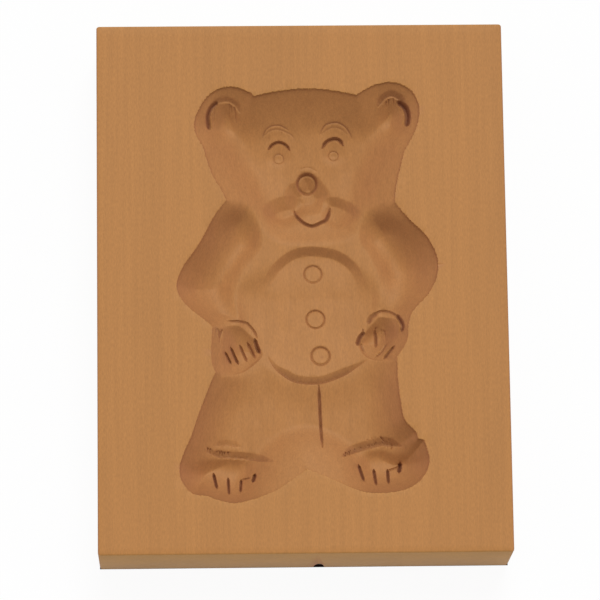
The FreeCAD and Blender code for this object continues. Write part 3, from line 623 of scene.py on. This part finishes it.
def face_points():
    """Points for the carved face: a fine grid, thinned where the surface bends less.

    The bend at a point is how far its two neighbours' mean lies from it, along X or along Y, doubled.
    """
    low, high = outline.min(0) - GRID_MARGIN, outline.max(0) + GRID_MARGIN
    columns = np.arange(low[0], high[0], GRID_STEP)
    rows = np.arange(low[1], high[1], GRID_STEP)
    grid_x, grid_y = np.meshgrid(columns, rows)
    grid = np.column_stack([grid_x.ravel(), grid_y.ravel()])
    depth = carve_depth(grid)[0].reshape(grid_x.shape)
    bend = np.zeros_like(depth)
    bend[1:-1, 1:-1] = np.maximum(np.abs(depth[1:-1, 2:] + depth[1:-1, :-2] - 2 * depth[1:-1, 1:-1]),
                                  np.abs(depth[2:, 1:-1] + depth[:-2, 1:-1] - 2 * depth[1:-1, 1:-1]))
    row, column = np.indices(depth.shape)
    second, fourth, sixteenth = [(row % step == 0) & (column % step == 0) for step in (2, 4, 16)]
    keep = ((bend > SHARP_BEND) | (second & (bend > SLIGHT_BEND)) | (fourth & (depth > CUT_AT_ALL))
            | sixteenth)
    kept = grid[keep.ravel()]
    clear = nearest_on_path(kept, outline)[0] > 0.4 * GRID_STEP
    return kept[clear]


def build_face(border):
    """The carved face as points and triangles, held to the outline and to the border ring."""
    inner = face_points()
    spread_x, spread_y = np.meshgrid(np.arange(-BOARD_WIDTH / 2 + 2, BOARD_WIDTH / 2 - 1, FACE_STEP),
                                     np.arange(-BOARD_HEIGHT / 2 + 2, BOARD_HEIGHT / 2 - 1, FACE_STEP))
    spread = np.column_stack([spread_x.ravel(), spread_y.ravel()])
    low, high = inner.min(0) - 1, inner.max(0) + 1
    spread = spread[~np.all((spread > low) & (spread < high), axis=1)]
    loop = outline[:-1]
    points = np.concatenate([border, loop, inner, spread])
    first = len(border)
    edges = [(here, (here + 1) % first) for here in range(first)]
    edges += [(first + here, first + (here + 1) % len(loop)) for here in range(len(loop))]
    result = delaunay_2d_cdt([Vector(point) for point in points], edges, [], 1, 1e-6)
    return np.array(result[0]), np.array(result[2])


# The small hole
# A hole drilled into the lower back edge, leaning into the board. It is cut out of the plain blank with
# a round cutter before the carved face takes the place of the blank's level one.

HOLE_X = 3.9
HOLE_RADIUS = 1.4
HOLE_DEPTH = 12.0
HOLE_LEAN = 14.0
TOP_GAP = 0.01


def drilled_blank(rings):
    """The blank's corners and faces in millimetres, without its level top, with the slanting hole in it."""
    count = len(rings[0])
    index = np.arange(count)
    faces = [tuple(index.tolist())]
    for ring in range(len(rings) - 1):
        upper, lower = ring * count, (ring + 1) * count
        following = (index + 1) % count
        quads = np.column_stack([upper + index, lower + index, lower + following, upper + following])
        faces += [tuple(quad) for quad in quads.tolist()]
    faces.append(tuple(((len(rings) - 1) * count + index[::-1]).tolist()))
    blank_mesh = bpy.data.meshes.new("blank")
    blank_mesh.from_pydata((np.concatenate(rings) * MM).tolist(), [], faces)
    lean = np.radians(HOLE_LEAN)
    along = Vector((0, np.sin(lean), np.cos(lean)))
    length = HOLE_DEPTH + 4 * HOLE_RADIUS
    middle = Vector((HOLE_X, -BOARD_HEIGHT / 2, 0)) + along * (length / 2 - 4 * HOLE_RADIUS)
    turn = Vector((0, 0, 1)).rotation_difference(along).to_matrix().to_4x4()
    cutter_mesh = bpy.data.meshes.new("cutter")
    shaped = bmesh.new()
    bmesh.ops.create_cone(shaped, cap_ends=True, segments=32, radius1=HOLE_RADIUS * MM,
                          radius2=HOLE_RADIUS * MM, depth=length * MM,
                          matrix=Matrix.Translation(middle * MM) @ turn)
    shaped.to_mesh(cutter_mesh)
    shaped.free()
    blank = bpy.data.objects.new("blank", blank_mesh)
    cutter = bpy.data.objects.new("cutter", cutter_mesh)
    for made in (blank, cutter):
        bpy.context.collection.objects.link(made)
    cut = blank.modifiers.new("hole", "BOOLEAN")
    cut.operation = "DIFFERENCE"
    cut.solver = "EXACT"
    cut.object = cutter
    graph = bpy.context.evaluated_depsgraph_get()
    drilled = bpy.data.meshes.new_from_object(blank.evaluated_get(graph))
    points = np.empty(len(drilled.vertices) * 3)
    drilled.vertices.foreach_get("co", points)
    points = points.reshape(-1, 3) / MM
    kept = [tuple(face.vertices) for face in drilled.polygons
            if points[list(face.vertices), 2].min() < BOARD_THICKNESS - TOP_GAP]
    for made in (blank, cutter):
        bpy.data.objects.remove(made)
    return points, kept


# The finished board
# The carved face and the drilled blank share their border, so the board closes into one solid.

rings = edge_rings()
border = rings[0][:, :2]
flat, triangles = build_face(border)
depth, in_hollow, cut_shade_share = carve_depth(flat)
corners = flat[triangles]
first, second = corners[:, 1] - corners[:, 0], corners[:, 2] - corners[:, 0]
turned = first[:, 0] * second[:, 1] < first[:, 1] * second[:, 0]
triangles[turned] = triangles[turned][:, ::-1]

blank_points, blank_faces = drilled_blank(rings)
number = len(flat) + np.arange(len(blank_points))
for here in (blank_points[:, 2] > BOARD_THICKNESS - TOP_GAP).nonzero()[0]:
    number[here] = np.hypot(*(flat - blank_points[here, :2]).T).argmin()
board_points = np.concatenate([np.column_stack([flat, BOARD_THICKNESS - depth]), blank_points])
board_faces = triangles.tolist() + [number[list(face)].tolist() for face in blank_faces]
board_mesh = bpy.data.meshes.new("carved_board")
board_mesh.from_pydata((board_points * MM).tolist(), [], board_faces)
SMOOTH_ANGLE = 32.0
board_mesh.shade_smooth()
board_mesh.set_sharp_from_angle(angle=np.radians(SMOOTH_ANGLE))
board_mesh.update()
normals = np.empty(len(board_points) * 3)
board_mesh.vertex_normals.foreach_get("vector", normals)
# How far each point faces sideways, and how far up or down the board: masks for end grain's colour and for
# painted light and shade.
side_shade, end_grain_and_painted_light = (normals.reshape(-1, 3)[:, :2] ** 2).T
none_here = np.zeros(len(blank_points))
for name, values in (("in_hollow", np.concatenate([in_hollow, none_here])),
                     ("cut_shade_share", np.concatenate([cut_shade_share, none_here])),
                     ("side_shade", side_shade), ("end_grain_and_painted_light", end_grain_and_painted_light)):
    layer = board_mesh.attributes.new(name, "FLOAT", "POINT")
    layer.data.foreach_set("value", values)

shaped = bmesh.new()
shaped.from_mesh(board_mesh)
loose = [vertex for vertex in shaped.verts if not vertex.link_faces]
bmesh.ops.delete(shaped, geom=loose, context="VERTS")
bmesh.ops.recalc_face_normals(shaped, faces=shaped.faces)
shaped.to_mesh(board_mesh)
shaped.free()
board = bpy.data.objects.new("carved_board", board_mesh)
bpy.context.collection.objects.link(board)

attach(board, "root")
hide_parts("mould_board")

# The wood
# Planed, unvarnished beech: a warm tan with faint rings and short streaks along the grain. Where it faces
# up or down the board it is end grain: the ends are paler, partly end grain's greyer hue and partly painted
# light, and cut walls in the hollow are darker and redder, partly end grain and partly painted shade.
# Steep cuts and sides facing sideways are darker and redder too, and that is painted shade.

# The darker, redder colours for cut walls are painted shade, partly end grain on walls facing up or down
# the board. The paler colour for the ends is partly painted light. The near-black browns are painted shade
# in the cuts and inside the hole.
COLOURS = {"face": "#B57D44", "ends": "#BB8B4C", "floor": "#B27A43", "cut ends and shade": "#98643F",
           "shaded sides": "#AD7350", "cut_shade": "#5E2A1E", "hole": "#2E1A14"}
# Each pattern has its size in millimetres across and along the grain, and its darkest and palest
# tone. The fibres are drawn coarser than the wood's own, so that they show.
GRAIN = {
    "streaks": dict(across=0.9, along=30.0, detail=3.0, dark=0.955, pale=1.04),
    "bands": dict(across=9.0, along=250.0, detail=1.0, dark=0.97, pale=1.03),
    "fibres": dict(across=0.3, along=1.1, detail=2.0, dark=0.92, pale=1.08),
}
# How far the painted shade in the cuts goes towards its near-black brown.
SHADE_SHARE = 0.75


def linear(hex_colour):
    """An sRGB colour such as #B6814F as linear red, green and blue with full alpha."""
    values = [int(hex_colour[i:i + 2], 16) / 255 for i in (1, 3, 5)]
    return [v / 12.92 if v <= 0.04045 else ((v + 0.055) / 1.055) ** 2.4 for v in values] + [1.0]


def add_node(tree, kind, inputs=None, **settings):
    """Add one shader node, set its own settings, and set or link its inputs by name or number."""
    node = tree.nodes.new(kind)
    for name, value in settings.items():
        setattr(node, name, value)
    for name, value in (inputs or {}).items():
        if isinstance(value, bpy.types.NodeSocket):
            tree.links.new(value, node.inputs[name])
        else:
            node.inputs[name].default_value = value
    return node


def planed_beech():
    """Noise drawn out along Y, over one colour for planed wood and others for end grain and cuts.

    Some colours are partly or wholly painted light and shade: paler ends, darker cut walls, lines, hole.
    """
    material = bpy.data.materials.new("planed_beech")
    material.use_nodes = True
    tree = material.node_tree
    tree.nodes.clear()
    place = add_node(tree, "ShaderNodeTexCoord").outputs["Object"]

    noises, tones = {}, []
    for name, grain in GRAIN.items():
        drawn = [1 / (grain[way] * MM) for way in ("across", "along", "across")]
        stretched = add_node(tree, "ShaderNodeMapping", {"Vector": place, "Scale": drawn})
        noises[name] = add_node(tree, "ShaderNodeTexNoise", {"Vector": stretched.outputs[0], "Scale": 1.0,
                                                             "Detail": grain["detail"]}).outputs["Fac"]
        tones.append(add_node(tree, "ShaderNodeMapRange",
                              {"Value": noises[name], "From Min": 0.3, "From Max": 0.7,
                               "To Min": grain["dark"], "To Max": grain["pale"]}))
    tone = tones[0]
    for other in tones[1:]:
        tone = add_node(tree, "ShaderNodeMath", {0: tone.outputs[0], 1: other.outputs[0]},
                        operation="MULTIPLY")

    cut_shade_share = add_node(tree, "ShaderNodeAttribute", attribute_name="cut_shade_share").outputs["Fac"]
    in_hollow = add_node(tree, "ShaderNodeAttribute", attribute_name="in_hollow").outputs["Fac"]
    end_grain_and_painted_light = add_node(tree, "ShaderNodeAttribute", attribute_name="end_grain_and_painted_light").outputs["Fac"]
    side_shade = add_node(tree, "ShaderNodeAttribute", attribute_name="side_shade").outputs["Fac"]
    # Ends of the board: paler than end grain, partly its greyer hue and partly painted light. End grain in
    # the hollow: darker and redder, partly end grain and partly painted shade on the cut walls.
    ends = add_node(tree, "ShaderNodeMix", {"Factor": in_hollow, "A": linear(COLOURS["ends"]),
                                            "B": linear(COLOURS["cut ends and shade"])}, data_type="RGBA")
    along = add_node(tree, "ShaderNodeMix", {"Factor": in_hollow, "A": linear(COLOURS["face"]),
                                             "B": linear(COLOURS["floor"])}, data_type="RGBA")
    # Wherever the surface faces sideways, on steep cuts and on the board's long sides, it takes a darker,
    # redder colour: painted shade.
    sides = add_node(tree, "ShaderNodeMix", {"Factor": side_shade, "A": along.outputs["Result"],
                                             "B": linear(COLOURS["shaded sides"])}, data_type="RGBA")
    wood = add_node(tree, "ShaderNodeMix", {"Factor": end_grain_and_painted_light, "A": sides.outputs["Result"],
                                            "B": ends.outputs["Result"]}, data_type="RGBA")
    # Lines, rounds and tears darken towards a near-black brown: painted shade in the cuts.
    line_share = add_node(tree, "ShaderNodeMath", {0: cut_shade_share, 1: SHADE_SHARE}, operation="MULTIPLY")
    cut = add_node(tree, "ShaderNodeMix", {"Factor": line_share.outputs[0], "A": wood.outputs["Result"],
                                           "B": linear(COLOURS["cut_shade"])}, data_type="RGBA")
    # Inside the drilled hole the wood is painted near-black brown: painted shade.
    lean = np.radians(HOLE_LEAN)
    from_mouth = add_node(tree, "ShaderNodeVectorMath",
                          {0: place, 1: (HOLE_X * MM, -BOARD_HEIGHT / 2 * MM, 0.0)}, operation="SUBTRACT")
    off_axis = add_node(tree, "ShaderNodeVectorMath",
                        {0: from_mouth.outputs[0], 1: (0.0, np.sin(lean), np.cos(lean))},
                        operation="CROSS_PRODUCT")
    off_hole = add_node(tree, "ShaderNodeVectorMath", {0: off_axis.outputs[0]}, operation="LENGTH")
    near_axis = add_node(tree, "ShaderNodeMath", {0: off_hole.outputs["Value"],
                                                  1: 1.01 * HOLE_RADIUS * MM}, operation="LESS_THAN")
    height = add_node(tree, "ShaderNodeSeparateXYZ", {0: place}).outputs["Z"]
    low_down = add_node(tree, "ShaderNodeMath", {0: height, 1: 1.1 * HOLE_DEPTH * MM},
                        operation="LESS_THAN")
    in_hole = add_node(tree, "ShaderNodeMath", {0: near_axis.outputs[0], 1: low_down.outputs[0]},
                       operation="MULTIPLY")
    hole_shaded = add_node(tree, "ShaderNodeMix", {"Factor": in_hole.outputs[0], "A": cut.outputs["Result"],
                                             "B": linear(COLOURS["hole"])}, data_type="RGBA")
    shaded = add_node(tree, "ShaderNodeVectorMath", {0: hole_shaded.outputs["Result"], "Scale": tone.outputs[0]},
                      operation="SCALE")
    fibre = add_node(tree, "ShaderNodeBump", {"Height": noises["streaks"], "Strength": 0.15,
                                               "Distance": 0.00005})
    surface = add_node(tree, "ShaderNodeBsdfPrincipled", {"Base Color": shaded.outputs[0],
                                                           "Roughness": 0.62, "Specular IOR Level": 0.3,
                                                           "Normal": fibre.outputs[0]})
    add_node(tree, "ShaderNodeOutputMaterial", {"Surface": surface.outputs[0]})
    return material


board.data.materials.clear()
board.data.materials.append(planed_beech())

# The floor
# A plain pale sheet under the mould. The camera sees it near white, and it keeps the soft shadow.

FLOOR_SIZE = 3.0
FLOOR_GAP = 0.00005
FLOOR_GLOW = 0.94
# Right under the board the sheet is painted dark brown: painted shade.
PAPER, SHADE_UNDER_BOARD = "#F6F6F6", "#2E1A14"
floor_mesh = bpy.data.meshes.new("floor")
half = FLOOR_SIZE / 2
floor_corners = [(-half, -half, 0), (half, -half, 0), (half, half, 0), (-half, half, 0)]
floor_mesh.from_pydata(floor_corners, [], [(0, 1, 2, 3)])
floor = bpy.data.objects.new("floor", floor_mesh)
floor.location.z = -FLOOR_GAP
bpy.context.collection.objects.link(floor)


def pale_sheet():
    """Matt white paper that the camera sees a little brighter, and painted shade under the board."""
    material = bpy.data.materials.new("pale_sheet")
    material.use_nodes = True
    tree = material.node_tree
    tree.nodes.clear()
    ray = add_node(tree, "ShaderNodeLightPath")
    mirrored = add_node(tree, "ShaderNodeMath", {0: ray.outputs["Is Camera Ray"],
                                                 1: ray.outputs["Is Glossy Ray"]}, operation="MAXIMUM")
    seen = add_node(tree, "ShaderNodeMath", {0: mirrored.outputs[0],
                                             1: ray.outputs["Is Transmission Ray"]}, operation="MAXIMUM")
    place = add_node(tree, "ShaderNodeTexCoord").outputs["Object"]
    size = add_node(tree, "ShaderNodeVectorMath", {0: place}, operation="ABSOLUTE")
    over = add_node(tree, "ShaderNodeVectorMath", {0: size.outputs[0], 1: (BOARD_WIDTH / 2 * MM,
                                                                           BOARD_HEIGHT / 2 * MM, 0.0)},
                    operation="SUBTRACT")
    parts = add_node(tree, "ShaderNodeSeparateXYZ", {0: over.outputs[0]})
    beyond = add_node(tree, "ShaderNodeMath", {0: parts.outputs[0], 1: parts.outputs[1]},
                      operation="MAXIMUM")
    clear = add_node(tree, "ShaderNodeMath", {0: beyond.outputs[0], 1: 0.0}, operation="GREATER_THAN")
    shade = add_node(tree, "ShaderNodeMix", {"Factor": clear.outputs[0], "A": linear(SHADE_UNDER_BOARD),
                                             "B": linear(PAPER)}, data_type="RGBA")
    paper = add_node(tree, "ShaderNodeBsdfDiffuse", {"Color": shade.outputs["Result"]})
    glowing = add_node(tree, "ShaderNodeMath", {0: seen.outputs[0], 1: clear.outputs[0]},
                       operation="MULTIPLY")
    share = add_node(tree, "ShaderNodeMath", {0: glowing.outputs[0], 1: FLOOR_GLOW}, operation="MULTIPLY")
    glow = add_node(tree, "ShaderNodeEmission", {"Color": (1, 1, 1, 1), "Strength": 1.0})
    mixed = add_node(tree, "ShaderNodeMixShader", {"Fac": share.outputs[0], 1: paper.outputs[0],
                                                   2: glow.outputs[0]})
    add_node(tree, "ShaderNodeOutputMaterial", {"Surface": mixed.outputs[0]})
    return material


floor_mesh.materials.append(pale_sheet())

# Light and camera
# One large soft lamp beyond the top of the board and a pale room around it. The camera stands where
# the photograph was taken from, a metre above the board and a little towards its lower end.

SUN_HEIGHT = 58.0
SUN_TURN = 12.0
SUN_POWER = 2.0
SUN_SPREAD = 28.0
ROOM_LIGHT = 0.5

sun_data = bpy.data.lights.new("high_lamp", "SUN")
sun_data.energy = SUN_POWER
sun_data.angle = np.radians(SUN_SPREAD)
sun_data.color = (0.90, 0.955, 1.0)
sun = bpy.data.objects.new("high_lamp", sun_data)
height, turn = np.radians(SUN_HEIGHT), np.radians(SUN_TURN)
towards_sun = Vector((np.cos(height) * np.sin(turn), np.cos(height) * np.cos(turn), np.sin(height)))
sun.rotation_euler = (-towards_sun).to_track_quat("-Z", "Y").to_euler()
bpy.context.collection.objects.link(sun)

world = bpy.data.worlds.new("pale_room")
bpy.context.scene.world = world
world.use_nodes = True
room = world.node_tree
room.nodes.clear()
seen = add_node(room, "ShaderNodeLightPath").outputs["Is Camera Ray"]
strength = add_node(room, "ShaderNodeMapRange", {"Value": seen, "To Min": ROOM_LIGHT, "To Max": 1.0})
backdrop = add_node(room, "ShaderNodeBackground", {"Color": (1.0, 0.94, 0.88, 1),
                                                   "Strength": strength.outputs[0]})
add_node(room, "ShaderNodeOutputWorld", {"Surface": backdrop.outputs[0]})

CAMERA_PLACE = Vector((-0.0295, -0.2363, 1.0729))
CAMERA_LOOK = Vector((0.02675, 0.21618, -0.97599))
CAMERA_UP = Vector((0.00822, 0.97625, 0.21647))
camera_data = bpy.data.cameras.new("camera")
camera_data.sensor_width = 36.0
camera_data.lens = 241.0
camera_data.clip_end = 20.0
camera = bpy.data.objects.new("camera", camera_data)
right = CAMERA_LOOK.cross(CAMERA_UP).normalized()
up = right.cross(CAMERA_LOOK).normalized()
facing = Matrix((right, up, -CAMERA_LOOK.normalized())).transposed()
camera.matrix_world = Matrix.Translation(CAMERA_PLACE) @ facing.to_4x4()
bpy.context.collection.objects.link(camera)
bpy.context.scene.camera = camera
bpy.context.scene.view_settings.view_transform = "Standard"
